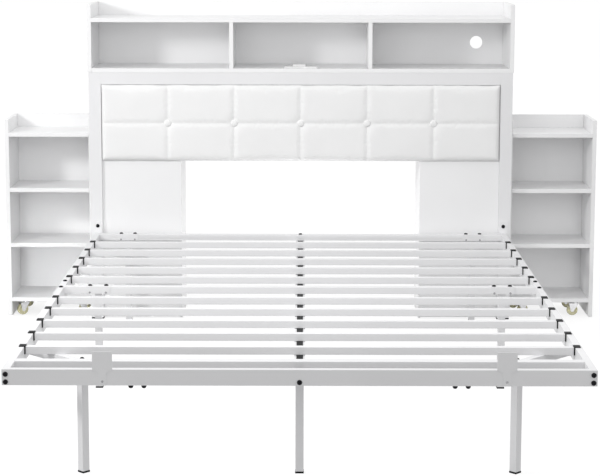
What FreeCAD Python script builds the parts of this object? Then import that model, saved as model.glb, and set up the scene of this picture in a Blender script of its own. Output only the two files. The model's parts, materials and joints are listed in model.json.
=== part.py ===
"""Platform bed frame with an upholstered bookcase headboard and two roll-out shelf cabinets.

Millimetres, +Z up. The foot of the bed is at -Y, the headboard at +Y, and the origin lies on the
floor at the middle of the whole bed. The cabinets are modelled rolled out to the sides.
"""
import FreeCAD, Part
import os
import re
import Sketcher

doc = FreeCAD.newDocument("bed")

# Driving sizes
SIZES = {
    # Steel bed frame
    "frame_width": 1540,
    "frame_length": 2075,
    "rail_top": 330,
    "rail_height": 42,
    "rail_width": 20,
    "rail_wall": 1.5,
    "bar_height": 21,
    "bar_wall": 1.2,
    "slat_depth": 20,
    "cross_bar_depth": 30,
    "first_bar_setback": 88,
    "head_bar_setback": 16,
    "clip_plate": 3.5,
    "clip_side_margin": 2,
    "clip_tab_reach": 15,
    "clip_tab_thickness": 3,
    "clip_plug_length": 18,
    "plug_clearance": 0.2,
    "sleeve_length": 220,
    "sleeve_wall": 2,
    "centre_rail_width": 30,
    "centre_rail_height": 20,
    "strip_width": 18,
    "strip_thickness": 2,
    # Legs and the plates that hold them
    "leg_size": 22,
    "leg_wall": 1.5,
    "foot_height": 5,
    "foot_rim": 0.8,
    "foot_plug_length": 15,
    "foot_leg_inset": 166,
    "foot_leg_setback": 181,
    "inner_leg_inset": 107,
    "brace_width": 20,
    "brace_height": 21,
    "saddle_width": 75,
    "saddle_plate": 2,
    "left_stop_inset": 260.5,
    "right_stop_inset": 234,
    "stop_width": 52,
    "stop_rise": 47.5,
    "stop_neck_width": 20,
    "stop_shoulder": 8,
    "stop_thickness": 2,
    "bracket_width": 36,
    "bracket_thickness": 3,
    "bracket_rise": 46,
    # Fasteners
    "bolt_head_radius": 6.8,
    "bolt_head_height": 4,
    "bolt_radius": 3,
    "bolt_bite": 6,
    "tall_bolt_head_radius": 6.8,
    "tall_bolt_head_height": 9,
    "tall_bolt_radius": 3,
    "screw_head_radius": 3.4,
    "screw_head_height": 2,
    "screw_radius": 1.6,
    "hole_clearance": 0.25,
    "drill_margin": 1,
    "foot_bolt_upper_drop": 12.5,
    "foot_bolt_lower_drop": 33,
    "stop_screw_drop": 31,
    "bracket_bolt_rise": 26,
    "saddle_bolt_spacing": 51,
    "saddle_screw_rise": 3.8,
    "splice_bolt_spacing": 98,
    "splice_gap": 0.4,
    "under_rail_bolt_inset": 350,
    "under_rail_bolt_spacing": 34,
    # Headboard posts, panels and pad
    "post_width": 45,
    "post_depth": 25,
    "post_wall": 1.5,
    "headboard_overhang": 17,
    "post_top": 932,
    "top_rail_height": 45,
    "board": 15,
    "thin_board": 9,
    "panel_joint_height": 275,
    "panel_gap": 2.5,
    "panel_foot_clearance": 1,
    "pad_bottom": 601,
    "pad_crown": 21,
    "pad_edge": 10,
    "pad_seam": 15,
    "pad_seam_swell": 1,
    "pad_middle_seam": 16.5,
    "pad_nip": 2,
    "pad_clearance": 1,
    "button_radius": 14,
    "button_height": 9,
    "button_seat": 12,
    "button_clearance": 0.4,
    "pocket_clearance": 4,
    "inner_wall_thickness": 9,
    "inner_wall_back_gap": 5,
    # Bookcase on top of the headboard
    "bookcase_overhang": 3,
    "bookcase_depth": 260,
    "bookcase_height": 252,
    "bookcase_gallery": 52,
    "outer_cubby_width": 510,
    "cable_hole_radius": 24,
    "cable_hole_inset": 102,
    "cable_hole_rise": 98,
    "dock_width": 124,
    "dock_depth": 60,
    "dock_height": 7,
    "dock_setback": 6,
    "dock_cap_width": 48,
    "dock_cap_depth": 32,
    "dock_cap_height": 7,
    "dock_cap_shift": 6,
    # Roll-out cabinets
    "cabinet_tuck": 7,
    "cabinet_width": 328,
    "cabinet_depth": 224,
    "cabinet_height": 752,
    "cabinet_gallery": 50,
    "cabinet_setback": 8,
    "cabinet_skirt_gap": 3,
    # Swivel casters
    "caster_height": 58.5,
    "caster_inset_x": 58,
    "caster_inset_y": 46,
    "caster_plate_size": 38,
    "caster_plate_thickness": 2.5,
    "caster_trail": 12,
    "wheel_radius": 21,
    "wheel_width": 17,
    "wheel_round": 3,
    "wheel_dish_radius": 13,
    "wheel_dish_depth": 1.5,
    "axle_radius": 3,
    "axle_clearance": 0.08,
    "axle_head_radius": 4.5,
    "axle_head_height": 1.5,
    "fork_plate": 2,
    "fork_wheel_gap": 0.8,
    "fork_top_width": 38,
    "fork_boss_radius": 7,
    "fork_wheel_clearance": 3.5,
    "swivel_radius": 11,
    "swivel_gap": 0.3,
    "kingpin_radius": 4,
    "kingpin_clearance": 0.08,
    "kingpin_head_radius": 6,
    "kingpin_head_height": 1.5,
}

# Counts and turns
SLATS_PER_HALF = 5
PAD_COLUMNS = 6
CABINET_SHELVES = 4
EIGHTH_TURN = 45
HALF_TURN = 180
# Each caster's swivel turn in degrees, by cabinet and by place in the cabinet
CASTER_TURNS = {
    "left": {"outer_front": 215, "outer_rear": 150, "inner_front": 20, "inner_rear": 320},
    "right": {"outer_front": 180, "outer_rear": 150, "inner_front": 25, "inner_rear": 205},
}
# Stations across one pad cell as shares of its width, and how full the cushion is at each
PAD_STATIONS = ((0.0, 0.0), (0.04, 0.45), (0.12, 0.75), (0.28, 0.95), (0.5, 1.0),
                (0.72, 0.95), (0.88, 0.75), (0.96, 0.45))

# Places worked out from the driving sizes, in the order they depend on each other
PLACES = {
    "foot_stand_out": "max(bolt_head_height; stop_thickness + screw_head_height)",
    "overall_length": "foot_stand_out + frame_length + bookcase_depth",
    "foot_y": "foot_stand_out - overall_length / 2",
    "post_y": "foot_y + frame_length",
    "bookcase_back_y": "post_y + bookcase_depth",
    "rail_outer": "frame_width / 2",
    "rail_inner": "rail_outer - rail_width",
    "rail_middle": "rail_outer - rail_width / 2",
    "headboard_half_width": "rail_outer + headboard_overhang",
    "inner_leg_x": "rail_inner - inner_leg_inset",
    "foot_leg_x": "rail_inner - foot_leg_inset",
    "left_stop_x": "rail_outer - left_stop_inset",
    "right_stop_x": "rail_outer - right_stop_inset",
    "under_rail_bolt_x": "rail_outer - under_rail_bolt_inset",
    "rail_bottom": "rail_top - rail_height",
    "rail_start": "foot_y + rail_width",
    "rail_end": "post_y - bracket_thickness",
    "bar_bottom": "rail_top - bar_height",
    "slat_end": "rail_inner - clip_plate",
    "foot_bar_y": "foot_y + first_bar_setback",
    "head_bar_end": "rail_end - head_bar_setback",
    "head_bar_y": "head_bar_end - cross_bar_depth",
    "bar_pitch": f"(head_bar_y - foot_bar_y) / {2 * SLATS_PER_HALF + 2}",
    "mid_bar_y": f"foot_bar_y + {SLATS_PER_HALF + 1} * bar_pitch",
    "splice_y": "mid_bar_y + splice_bolt_spacing / 2",
    "strip_bottom": "bar_bottom - strip_thickness",
    "centre_rail_bottom": "strip_bottom - centre_rail_height",
    "foot_leg_y": "foot_y + foot_leg_setback",
    "brace_bottom": "bar_bottom - brace_height",
    "post_inner": "headboard_half_width - post_width",
    "panel_floor_gap": "foot_height + panel_foot_clearance",
    "panel_front": "post_y + post_depth - board",
    "panel_back": "panel_front + board",
    "pad_top": "post_top - top_rail_height",
    "pad_half_width": "post_inner - pad_clearance",
    "wall_outer": "headboard_half_width - cabinet_width - pocket_clearance",
    "inner_wall_x": "wall_outer - inner_wall_thickness",
    "bookcase_inner": "headboard_half_width + bookcase_overhang - board",
    "divider_x": "bookcase_inner - outer_cubby_width - board / 2",
    "cable_hole_x": "bookcase_inner - cable_hole_inset",
    "cubby_floor": "post_top + board",
    "top_shelf_bottom": "post_top + bookcase_height - bookcase_gallery - board",
    "shelf_back_y": "bookcase_back_y - thin_board",
    "cabinet_front": "post_y + post_depth + cabinet_setback",
    "cabinet_back": "cabinet_front + cabinet_depth",
    "cabinet_inner_x": "headboard_half_width - cabinet_tuck",
    "cabinet_outer_x": "cabinet_inner_x + cabinet_width",
    "cabinet_shelf_rise": "cabinet_height - cabinet_gallery - board - caster_height",
    "cabinet_clear_width": "cabinet_width - 2 * board",
    "plate_bottom": "caster_height - caster_plate_thickness",
    "slot_width": "wheel_width + 2 * fork_wheel_gap",
    "fork_width": "slot_width + 2 * fork_plate",
    "slot_top": "2 * wheel_radius + fork_wheel_clearance",
    "fork_top": "slot_top + fork_plate",
    "bolt_hole": "bolt_radius + hole_clearance",
    "tall_bolt_hole": "tall_bolt_radius + hole_clearance",
    "screw_hole": "screw_radius + hole_clearance",
}

sheet = doc.addObject("Spreadsheet::Sheet", "Sizes")
for row, (alias, value) in enumerate(SIZES.items(), start=1):
    sheet.set(f"A{row}", alias)
    sheet.set(f"B{row}", str(value))
    sheet.setAlias(f"B{row}", alias)
doc.recompute()

WORD = re.compile(r"[a-z_][a-z0-9_]*")
PLAIN_WORDS = ("sqrt", "max")


def bind(text):
    """Writes a size or place with the names that the document holds it under."""
    def one_word(match):
        word = match.group(0)
        if word in PLAIN_WORDS:
            return word
        return f"Places.{word}" if word in PLACES else f"Sizes.{word}"
    return WORD.sub(one_word, str(text))


places = doc.addObject("App::FeaturePython", "Places")
for name, text in PLACES.items():
    places.addProperty("App::PropertyFloat", name, "Places")
    places.setExpression(name, bind(text))
doc.recompute()

NODES = {}
BOLTS = []
TURN_TO_AXIS = {
    "x": FreeCAD.Rotation(FreeCAD.Vector(0, 1, 0), 90),
    "y": FreeCAD.Rotation(FreeCAD.Vector(1, 0, 0), -90),
    "z": FreeCAD.Rotation(),
}
STAND_UP = FreeCAD.Rotation(FreeCAD.Vector(1, 0, 0), 90)
SIDES = ("left", "right")


def about_z(degrees):
    return FreeCAD.Rotation(FreeCAD.Vector(0, 0, 1), degrees)


def put(thing, at, turn=None):
    """Places an object by three bound expressions."""
    if turn is not None:
        thing.Placement = FreeCAD.Placement(FreeCAD.Vector(), turn)
    for axis, text in zip("xyz", at):
        thing.setExpression(f"Placement.Base.{axis}", bind(text))
    return thing


def box(name, size, at):
    block = doc.addObject("Part::Box", name)
    for prop, text in zip(("Length", "Width", "Height"), size):
        block.setExpression(prop, bind(text))
    return put(block, at)


def cylinder(name, radius, height, at, axis="z"):
    rod = doc.addObject("Part::Cylinder", name)
    rod.setExpression("Radius", bind(radius))
    rod.setExpression("Height", bind(height))
    return put(rod, at, TURN_TO_AXIS[axis])


def cut(name, base, tool):
    result = doc.addObject("Part::Cut", name)
    result.Base = base
    result.Tool = tool
    return result


def fuse(name, *pieces):
    result = doc.addObject("Part::MultiFuse", name)
    result.Shapes = list(pieces)
    return result


def group(name, *pieces):
    result = doc.addObject("Part::Compound", name)
    result.Links = list(pieces)
    return result


def mirror(name, source):
    """The same piece on the other side of the bed."""
    result = doc.addObject("Part::Mirroring", name)
    result.Source = source
    result.Base = FreeCAD.Vector(0, 0, 0)
    result.Normal = FreeCAD.Vector(1, 0, 0)
    return result


def copy_of(master, name, at, degrees=0):
    """A piece like the master, turned about the vertical and set in its own place."""
    return put(group(name, master), at, about_z(degrees))


def tube(name, size, at, wall, along):
    """A rectangular steel tube, open at both ends."""
    inner_size = list(size)
    inner_at = list(at)
    for index, axis in enumerate("xyz"):
        if axis != along:
            inner_size[index] = f"{size[index]} - 2 * {wall}"
            inner_at[index] = f"{at[index]} + {wall}"
    return cut(name, box(f"{name}_outside", size, at), box(f"{name}_inside", inner_size, inner_at))


def outline(body, points):
    """A closed sketch of straight lines on the body's own XY plane, each corner bound to its place."""
    sketch = body.newObject("Sketcher::SketchObject", f"{body.Name}_sketch")
    plane = [item for item in body.Origin.OriginFeatures if item.Role == "XY_Plane"][0]
    sketch.AttachmentSupport = [(plane, "")]
    sketch.MapMode = "FlatFace"
    start = [FreeCAD.Vector(now(x), now(y), 0) for x, y in points]
    count = len(points)
    for index in range(count):
        sketch.addGeometry(Part.LineSegment(start[index], start[(index + 1) % count]))
    for index in range(count):
        sketch.addConstraint(Sketcher.Constraint("Coincident", index, 2, (index + 1) % count, 1))
    for index, (x, y) in enumerate(points):
        for kind, text, value in (("DistanceX", x, start[index].x), ("DistanceY", y, start[index].y)):
            mark = sketch.addConstraint(Sketcher.Constraint(kind, -1, 1, index, 1, value))
            sketch.setExpression(f"Constraints[{mark}]", bind(text))
    return sketch


def now(text):
    """The present value of a size or place."""
    probe.setExpression("value", bind(text))
    doc.recompute([probe])
    return probe.value


probe = doc.addObject("App::FeaturePython", "Probe")
probe.addProperty("App::PropertyFloat", "value", "Probe")


def plate(name, points, thickness, at, turn=None):
    """A flat piece cut to an outline and given a thickness."""
    body = doc.addObject("PartDesign::Body", name)
    sketch = outline(body, points)
    pad = body.newObject("PartDesign::Pad", f"{name}_pad")
    pad.Profile = sketch
    pad.setExpression("Length", bind(thickness))
    return put(body, at, turn)


def turned(name, points, at, turn=None):
    """A round piece turned about its sketch's upright axis."""
    body = doc.addObject("PartDesign::Body", name)
    sketch = outline(body, points)
    spin = body.newObject("PartDesign::Revolution", f"{name}_turning")
    spin.Profile = sketch
    spin.ReferenceAxis = (sketch, ["V_Axis"])
    spin.Angle = 360
    return put(body, at, turn)


def fastener(name, at, into, length, kind="bolt"):
    """A bolt or screw in one solid, and the clearance hole that it goes through."""
    x, y, z = at
    head_height = f"{kind}_head_height"
    axis = into[-1]
    reach = f"{length} + 2 * drill_margin"
    if into == "+y":
        starts = (at, (x, f"{y} - {head_height}", z), (x, f"{y} - drill_margin", z))
    elif into == "+z":
        starts = (at, (x, y, f"{z} - {head_height}"), (x, y, f"{z} - drill_margin"))
    else:
        starts = ((x, y, f"{z} - ({length})"), at, (x, y, f"{z} - ({length}) - drill_margin"))
    shank = cylinder(f"{name}_shank", f"{kind}_radius", length, starts[0], axis)
    head = cylinder(f"{name}_head", f"{kind}_head_radius", head_height, starts[1], axis)
    hole = cylinder(f"{name}_hole", f"{kind}_hole", reach, starts[2], axis)
    BOLTS.append(fuse(name, shank, head))
    return hole


def drill(name, base, holes):
    return cut(name, base, group(f"{name}_holes", *holes))


def node(label, *pieces):
    """Names a finished sub-part, one solid or a group of separate ones."""
    piece = pieces[0] if len(pieces) == 1 else group(f"{label}_group", *pieces)
    piece.Label = label
    NODES[label] = piece


def both_sides(label, right_piece):
    """The right-hand piece and its mirror image, as two sub-parts."""
    node(f"right_{label}", right_piece)
    node(f"left_{label}", mirror(f"left_{label}_mirror", right_piece))


def pair(label, right_piece):
    """The right-hand piece and its mirror image, as one sub-part of two solids."""
    node(label, right_piece, mirror(f"{label}_mirror", right_piece))


def signed(side, text):
    return text if side == "right" else f"-({text})"


# Foot rail, bolted to the ends of the side rails and the centre rail
foot_tube = tube("foot_tube", ("frame_width", "rail_width", "rail_height"),
                 ("-rail_outer", "foot_y", "rail_bottom"), "rail_wall", "x")
foot_holes = []
for side in SIDES:
    for level in ("upper", "lower"):
        bolt_at = (signed(side, "rail_middle"), "foot_y", f"rail_top - foot_bolt_{level}_drop")
        bolt_name = f"{side}_{level}_foot_bolt"
        foot_holes.append(fastener(bolt_name, bolt_at, "+y", "rail_width + bolt_bite"))
    for end, sign in (("inner", "-"), ("outer", "+")):
        spread = f"under_rail_bolt_x {sign} under_rail_bolt_spacing / 2"
        bolt_at = (signed(side, spread), "foot_y + rail_width / 2", "rail_bottom")
        foot_holes.append(fastener(f"{side}_{end}_under_bolt", bolt_at, "+z",
                                   "rail_wall + bolt_bite", "tall_bolt"))
    screw_at = (signed(side, f"{side}_stop_x"), "foot_y - stop_thickness", "rail_top - stop_screw_drop")
    foot_holes.append(fastener(f"{side}_stop_screw", screw_at, "+y",
                               "stop_thickness + rail_wall + bolt_bite", "screw"))
centre_bolt_at = ("0", "foot_y", "centre_rail_bottom + centre_rail_height / 2")
foot_holes.append(fastener("centre_foot_bolt", centre_bolt_at, "+y", "rail_width + bolt_bite"))
node("foot_rail", drill("foot_rail_drilled", foot_tube, foot_holes))
stop_holes = [hole for hole in foot_holes if hole.Name.endswith("stop_screw_hole")]

# Side rails, each in two halves joined end to end over an inner sleeve
for side in SIDES:
    corner = "rail_inner" if side == "right" else "-rail_outer"
    halves = []
    splice_holes = []
    for half, start, end, sign in (("front", "rail_start", "splice_y - splice_gap / 2", "-"),
                                   ("rear", "splice_y + splice_gap / 2", "rail_end", "+")):
        bolt_at = (signed(side, "rail_middle"), f"splice_y {sign} splice_bolt_spacing / 2", "rail_top")
        length = "rail_wall + plug_clearance + sleeve_wall + bolt_bite"
        hole = fastener(f"{side}_{half}_splice_bolt", bolt_at, "-z", length)
        rail = tube(f"{side}_{half}_tube", ("rail_width", f"{end} - ({start})", "rail_height"),
                    (corner, start, "rail_bottom"), "rail_wall", "y")
        halves.append(drill(f"{side}_{half}_rail", rail, [hole]))
        splice_holes.append(hole)
    node(f"{side}_side_rails", *halves)
    sleeve_fit = "rail_wall + plug_clearance"
    sleeve_size = (f"rail_width - 2 * ({sleeve_fit})", "sleeve_length", f"rail_height - 2 * ({sleeve_fit})")
    sleeve_start = "splice_y - sleeve_length / 2"
    sleeve_at = (f"{corner} + {sleeve_fit}", sleeve_start, f"rail_bottom + {sleeve_fit}")
    sleeve = tube(f"{side}_sleeve_tube", sleeve_size, sleeve_at, "sleeve_wall", "y")
    drill(f"{side}_sleeve", sleeve, splice_holes)

# Slats and their end clips
slat_rows = [index for index in range(1, 2 * SLATS_PER_HALF + 2) if index != SLATS_PER_HALF + 1]
slats = []
for index in slat_rows:
    slats.append(tube(f"slat_{index}", ("2 * slat_end", "slat_depth", "bar_height"),
                      ("-slat_end", f"foot_bar_y + {index} * bar_pitch", "bar_bottom"), "bar_wall", "x"))
node("slats", *slats)
plug_fit = "bar_wall + plug_clearance"
clip_width = "slat_depth + 2 * clip_side_margin"
clip_side = "-slat_depth / 2 - clip_side_margin"
clip_upright = box("clip_upright", ("clip_plate", clip_width, "bar_height + clip_tab_thickness"),
                   ("-clip_plate", clip_side, "0"))
clip_tab = box("clip_tab", ("clip_tab_reach", clip_width, "clip_tab_thickness"),
               ("0", clip_side, "bar_height"))
plug_size = ("clip_plug_length", f"slat_depth - 2 * ({plug_fit})", f"bar_height - 2 * ({plug_fit})")
clip_plug = box("clip_plug", plug_size,
                ("-clip_plate - clip_plug_length", f"-slat_depth / 2 + {plug_fit}", plug_fit))
clip_master = fuse("clip_master", clip_upright, clip_tab, clip_plug)
clips = []
for index in slat_rows:
    clip_y = f"foot_bar_y + {index} * bar_pitch + slat_depth / 2"
    right_end = ("rail_inner", clip_y, "bar_bottom")
    left_end = ("-rail_inner", clip_y, "bar_bottom")
    clips.append(copy_of(clip_master, f"right_clip_{index}", right_end))
    clips.append(copy_of(clip_master, f"left_clip_{index}", left_end, HALF_TURN))
node("slat_clips", *clips)

# Cross bars, with leg saddles over the middle and head bars
saddles = []
bars = {}
for bar in ("foot", "mid", "head"):
    bars[bar] = tube(f"{bar}_bar_tube", ("2 * rail_inner", "cross_bar_depth", "bar_height"),
                     ("-rail_inner", f"{bar}_bar_y", "bar_bottom"), "bar_wall", "x")
node("foot_cross_bar", bars["foot"])
centre_hole = fastener("head_centre_bolt", ("0", "head_bar_y + cross_bar_depth / 2", "rail_top"), "-z",
                       "bar_height + strip_thickness + bar_wall + bolt_bite")
for bar in ("mid", "head"):
    bar_holes = [centre_hole] if bar == "head" else []
    for side in SIDES:
        holes = []
        for end, sign in (("inner", "-"), ("outer", "+")):
            across = signed(side, f"inner_leg_x {sign} saddle_bolt_spacing / 2")
            bolt_at = (across, f"{bar}_bar_y + cross_bar_depth / 2", "rail_top + saddle_plate")
            holes.append(fastener(f"{side}_{bar}_{end}_saddle_bolt", bolt_at, "-z",
                                  "saddle_plate + bar_wall + bolt_bite"))
            screw_at = (across, f"{bar}_bar_y - saddle_plate", "bar_bottom + saddle_screw_rise")
            holes.append(fastener(f"{side}_{bar}_{end}_saddle_screw", screw_at, "+y",
                                  "saddle_plate + bar_wall + screw_head_height", "screw"))
        left_edge = f"{signed(side, 'inner_leg_x')} - saddle_width / 2"
        shell = box(f"{side}_{bar}_saddle_shell",
                    ("saddle_width", "cross_bar_depth + 2 * saddle_plate", "bar_height + saddle_plate"),
                    (left_edge, f"{bar}_bar_y - saddle_plate", "bar_bottom"))
        hollow = box(f"{side}_{bar}_saddle_hollow", ("saddle_width", "cross_bar_depth", "bar_height"),
                     (left_edge, f"{bar}_bar_y", "bar_bottom"))
        channel = cut(f"{side}_{bar}_saddle_channel", shell, hollow)
        saddles.append(drill(f"{side}_{bar}_saddle", channel, holes))
        bar_holes += holes
    node(f"{bar}_cross_bar", drill(f"{bar}_bar_drilled", bars[bar], bar_holes))
node("leg_saddles", *saddles)

# Centre rail with its black wear strip, under the slats
centre_tube = tube("centre_tube", ("centre_rail_width", "head_bar_end - rail_start", "centre_rail_height"),
                   ("-centre_rail_width / 2", "rail_start", "centre_rail_bottom"), "bar_wall", "y")
node("centre_rail", drill("centre_rail_drilled", centre_tube, [centre_hole]))
strip = box("strip_block", ("strip_width", "head_bar_end - rail_start", "strip_thickness"),
            ("-strip_width / 2", "rail_start", "strip_bottom"))
node("centre_strip", drill("centre_strip_drilled", strip, [centre_hole]))

# Corner braces at 45 degrees from the side rails to the foot cross bar
brace_slant = "brace_width * sqrt(2)"
brace_corner = f"foot_bar_y + foot_leg_x - foot_leg_y - {brace_slant} / 2"
brace_run = f"rail_inner - ({brace_corner})"
wall_slant = "bar_wall * sqrt(2)"


def brace_outline(inset):
    """The brace seen from above, drawn in along both its long sides."""
    return [(inset, "0"), (f"{brace_slant} - {inset}", "0"),
            (brace_run, f"{brace_run} - {brace_slant} + {inset}"), (brace_run, f"{brace_run} - {inset}")]


brace_solid = plate("brace_solid", brace_outline("0"), "brace_height",
                    (brace_corner, "foot_bar_y", "brace_bottom"))
brace_hollow = plate("brace_hollow", brace_outline(wall_slant), "brace_height - 2 * bar_wall",
                     (brace_corner, "foot_bar_y", "brace_bottom + bar_wall"))
brace_holes = []
for side in SIDES:
    bolt_at = (signed(side, "foot_leg_x"), "foot_leg_y", "bar_bottom")
    brace_holes.append(fastener(f"{side}_brace_bolt", bolt_at, "-z",
                                "brace_height + bolt_bite", "tall_bolt"))
pair("corner_braces", drill("right_brace", cut("brace_tube", brace_solid, brace_hollow), brace_holes))

# Legs with black caps at the foot
def leg_tube(name, top):
    return tube(name, ("leg_size", "leg_size", f"{top} - foot_height"),
                ("-leg_size / 2", "-leg_size / 2", "foot_height"), "leg_wall", "z")


def plugged_foot(name, width, depth, wall):
    """A cap under a tube's end with a plug that goes up inside it, about the tube's middle."""
    fit = f"{wall} + plug_clearance"
    cap = box(f"{name}_cap", (f"{width} + 2 * foot_rim", f"{depth} + 2 * foot_rim", "foot_height"),
              (f"-{width} / 2 - foot_rim", f"-{depth} / 2 - foot_rim", "0"))
    plug = box(f"{name}_plug", (f"{width} - 2 * ({fit})", f"{depth} - 2 * ({fit})", "foot_plug_length"),
               (f"-{width} / 2 + {fit}", f"-{depth} / 2 + {fit}", "foot_height"))
    return fuse(name, cap, plug)


brace_leg = leg_tube("brace_leg", "brace_bottom")
bar_leg = leg_tube("bar_leg", "bar_bottom")
centre_leg = leg_tube("centre_leg", "centre_rail_bottom")
leg_foot = plugged_foot("leg_foot", "leg_size", "leg_size", "leg_wall")
post_foot = plugged_foot("post_foot", "post_width", "post_depth", "post_wall")
foot_legs = [copy_of(centre_leg, "centre_foot_leg", ("0", "foot_leg_y", "0"))]
inner_legs = []
feet = [copy_of(leg_foot, "centre_leg_foot", ("0", "foot_leg_y", "0"))]
for side in SIDES:
    stand = (signed(side, "foot_leg_x"), "foot_leg_y", "0")
    foot_legs.append(copy_of(brace_leg, f"{side}_foot_leg", stand, EIGHTH_TURN))
    feet.append(copy_of(leg_foot, f"{side}_leg_foot", stand, EIGHTH_TURN))
    for bar in ("mid", "head"):
        stand = (signed(side, "inner_leg_x"), f"{bar}_bar_y + cross_bar_depth / 2", "0")
        inner_legs.append(copy_of(bar_leg, f"{side}_{bar}_leg", stand))
        feet.append(copy_of(leg_foot, f"{side}_{bar}_leg_foot", stand))
    stand = (signed(side, "post_inner + post_width / 2"), "post_y + post_depth / 2", "0")
    feet.append(copy_of(post_foot, f"{side}_post_foot", stand))
node("foot_legs", *foot_legs)
node("inner_legs", *inner_legs)
node("leg_feet", *feet)

# Mattress stops screwed to the face of the foot rail
neck_left = "(stop_width - stop_neck_width) / 2"
neck_right = "(stop_width + stop_neck_width) / 2"
stop_points = [
    (neck_left, "0"), (neck_right, "0"), (neck_right, "rail_height - stop_shoulder"),
    ("stop_width", "rail_height"), ("stop_width", "rail_height + stop_rise"),
    ("0", "rail_height + stop_rise"), ("0", "rail_height"), (neck_left, "rail_height - stop_shoulder")]
stops = []
for side in SIDES:
    stop_corner = (f"{signed(side, side + '_stop_x')} - stop_width / 2", "foot_y", "rail_bottom")
    stop_plate = plate(f"{side}_stop_plate", stop_points, "stop_thickness", stop_corner, STAND_UP)
    stops.append(drill(f"{side}_stop", stop_plate, stop_holes))
node("mattress_stops", *stops)

# Plates that tie the side rails to the headboard posts, and the splice sleeves
bracket_holes = []
for side in SIDES:
    bolt_at = (signed(side, "rail_middle"), "rail_end", "rail_top + bracket_bolt_rise")
    length = "bracket_thickness + post_wall + bolt_bite"
    bracket_holes.append(fastener(f"{side}_post_bolt", bolt_at, "+y", length))
bracket_plate = box("bracket_plate", ("bracket_width", "bracket_thickness", "rail_height + bracket_rise"),
                    ("rail_middle - bracket_width / 2", "rail_end", "rail_bottom"))
right_bracket = drill("right_bracket", bracket_plate, bracket_holes)
node("joint_plates", right_bracket, mirror("left_bracket", right_bracket),
     doc.getObject("right_sleeve"), doc.getObject("left_sleeve"))
node("frame_bolts", *BOLTS)

# Headboard posts and top rail
post_tube = tube("post_tube", ("post_width", "post_depth", "post_top - foot_height"),
                 ("post_inner", "post_y", "foot_height"), "post_wall", "z")
both_sides("post", drill("post_drilled", post_tube, bracket_holes))
node("top_rail", tube("top_rail_tube", ("2 * post_inner", "post_depth", "top_rail_height"),
                      ("-post_inner", "post_y", "pad_top"), "post_wall", "x"))

# Front panels of the cabinet pockets and the walls behind them
panel_width = "post_inner - inner_wall_x"
kick_panel = box("kick_panel", (panel_width, "board", "panel_joint_height - panel_floor_gap"),
                 ("inner_wall_x", "panel_front", "panel_floor_gap"))
pocket_panel = box("pocket_panel", (panel_width, "board", "pad_bottom - panel_joint_height - panel_gap"),
                   ("inner_wall_x", "panel_front", "panel_joint_height + panel_gap"))
both_sides("front_panels", group("front_panel_set", kick_panel, pocket_panel))
wall_depth = "bookcase_back_y - inner_wall_back_gap - panel_back"
both_sides("inner_wall", box("inner_wall_board", ("inner_wall_thickness", wall_depth, "post_top"),
                             ("inner_wall_x", "panel_back", "0")))

# Upholstered pad on its board: a grid of crowned cells drawn in at the seams and tufts
node("pad_backboard", box("backboard", ("2 * post_inner", "board", "pad_top - pad_bottom"),
                          ("-post_inner", "panel_front", "pad_bottom")))


def pad_section(x, fullness, seam_depth):
    """One upright slice of the pad: flat back, and an arc for each of the two rows of cells."""
    back = places.panel_front
    nip = sheet.pad_nip * (1 - fullness)
    low = sheet.pad_bottom + nip
    high = places.pad_top - sheet.pad_clearance - nip
    middle = (low + high) / 2
    least = sheet.pad_seam + sheet.pad_seam_swell
    crown = least + (sheet.pad_crown - least) * fullness

    def point(depth, z):
        return FreeCAD.Vector(x, back - depth, z)

    corners = [point(0, low), point(sheet.pad_edge, low), point(seam_depth, middle),
               point(sheet.pad_edge, high), point(0, high)]
    lower_crown = point(crown, (low + middle) / 2)
    upper_crown = point(crown, (middle + high) / 2)
    edges = [Part.LineSegment(corners[0], corners[1]).toShape(),
             Part.Arc(corners[1], lower_crown, corners[2]).toShape(),
             Part.Arc(corners[2], upper_crown, corners[3]).toShape(),
             Part.LineSegment(corners[3], corners[4]).toShape(),
             Part.LineSegment(corners[4], corners[0]).toShape()]
    return Part.Wire(edges)


cell_width = 2 * places.pad_half_width / PAD_COLUMNS
slices = []
for column in range(PAD_COLUMNS):
    for share, fullness in PAD_STATIONS:
        seam = sheet.pad_seam + (sheet.pad_middle_seam - sheet.pad_seam) * fullness
        slices.append(pad_section(-places.pad_half_width + (column + share) * cell_width, fullness, seam))
slices.append(pad_section(places.pad_half_width, 0.0, sheet.pad_seam))
pad_shape = Part.makeLoft(slices, True, True)
button_z = (sheet.pad_bottom + places.pad_top - sheet.pad_clearance) / 2
well_radius = sheet.button_radius + sheet.button_clearance
well_y = places.panel_front - sheet.button_seat
forward = FreeCAD.Vector(0, -1, 0)
for column in range(1, PAD_COLUMNS):
    seat = FreeCAD.Vector(-places.pad_half_width + column * cell_width, well_y, button_z)
    pad_shape = pad_shape.cut(Part.makeCylinder(well_radius, sheet.pad_crown, seat, forward))
pad = doc.addObject("Part::Feature", "pad")
pad.Shape = pad_shape
node("headboard_pad", pad)

# Covered buttons, domed, seated in the tufts; the dome is shares of the radius and the height
BUTTON_DOME_SHARES = ((0, 0), (1, 0), (1, 0.35), (0.8, 0.75), (0.45, 0.95), (0, 1))
button_points = [(f"{out} * button_radius", f"{up} * button_height") for out, up in BUTTON_DOME_SHARES]
button = turned("button", button_points, ("0", "0", "0"))
LIE_FORWARD = FreeCAD.Rotation(FreeCAD.Vector(1, 0, 0), HALF_TURN)
buttons = []
for column in range(1, PAD_COLUMNS):
    across = f"-pad_half_width + {column} * 2 * pad_half_width / {PAD_COLUMNS}"
    place = (across, "panel_front - button_seat", "(pad_bottom + pad_top - pad_clearance) / 2")
    buttons.append(put(group(f"button_{column}", button), place, LIE_FORWARD))
node("pad_buttons", *buttons)

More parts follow.
